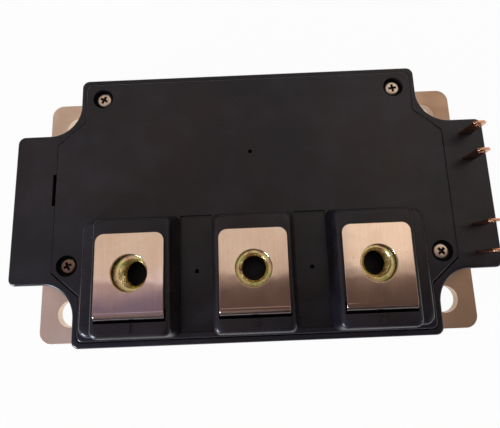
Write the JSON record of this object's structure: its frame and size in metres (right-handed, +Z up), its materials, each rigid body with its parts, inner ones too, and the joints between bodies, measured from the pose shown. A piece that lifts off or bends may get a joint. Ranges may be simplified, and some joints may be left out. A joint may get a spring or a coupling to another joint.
{
  "type": "igbt module",
  "caption": "Flat half-bridge power transistor module: base plate with mounting holes, black case, raised blocks with bent screw terminals and control tabs.",
  "frame": {"origin": "centre of the base plate's mounting face", "axes": "+X along the module towards the control tabs, +Z up away from the heat sink, -Y towards the main terminals"},
  "size_m": [0.108, 0.062, 0.029],
  "materials": {
    "plated_copper_plate": "nickel-plated copper, warm and slightly dull",
    "case_plastic": "black glass-filled moulding, semi-gloss with fine grain",
    "lid_plastic": "black moulding, semi-gloss with fine grain",
    "adhesive": "cured silicone adhesive",
    "screw_metal": "nickel-plated steel with a dark cross recess",
    "nut_metal": "yellow passivated steel",
    "terminal_metal": "nickel-plated copper strip, fine scratches, browner towards the front",
    "tab_metal": "bare copper alloy",
    "circuit_copper": "bare copper layer",
    "ceramic": "white fired ceramic",
    "silicon": "polished silicon with a metal face",
    "bond_wire": "bare aluminium wire",
    "gel": "clear soft silicone gel"
  },
  "bodies": {
    "root": {"base_plate": "plated_copper_plate", "case_frame": "case_plastic", "adhesive_bead": "adhesive", "lid": "lid_plastic", "lid_screws": "screw_metal", "terminal_nuts": "nut_metal", "main_terminal_left": "terminal_metal", "main_terminal_middle": "terminal_metal", "main_terminal_right": "terminal_metal", "control_tab_1": "tab_metal", "control_tab_2": "tab_metal", "control_tab_3": "tab_metal", "control_tab_4": "tab_metal", "back_copper_left": "circuit_copper", "back_copper_right": "circuit_copper", "ceramic_left": "ceramic", "ceramic_right": "ceramic", "circuit_copper_left": "circuit_copper", "circuit_copper_right": "circuit_copper", "igbt_chips_left": "silicon", "igbt_chips_right": "silicon", "diode_chips_left": "silicon", "diode_chips_right": "silicon", "bond_wires_left": "bond_wire", "bond_wires_right": "bond_wire", "silicone_gel": "gel"}
  },
  "joints": []
}
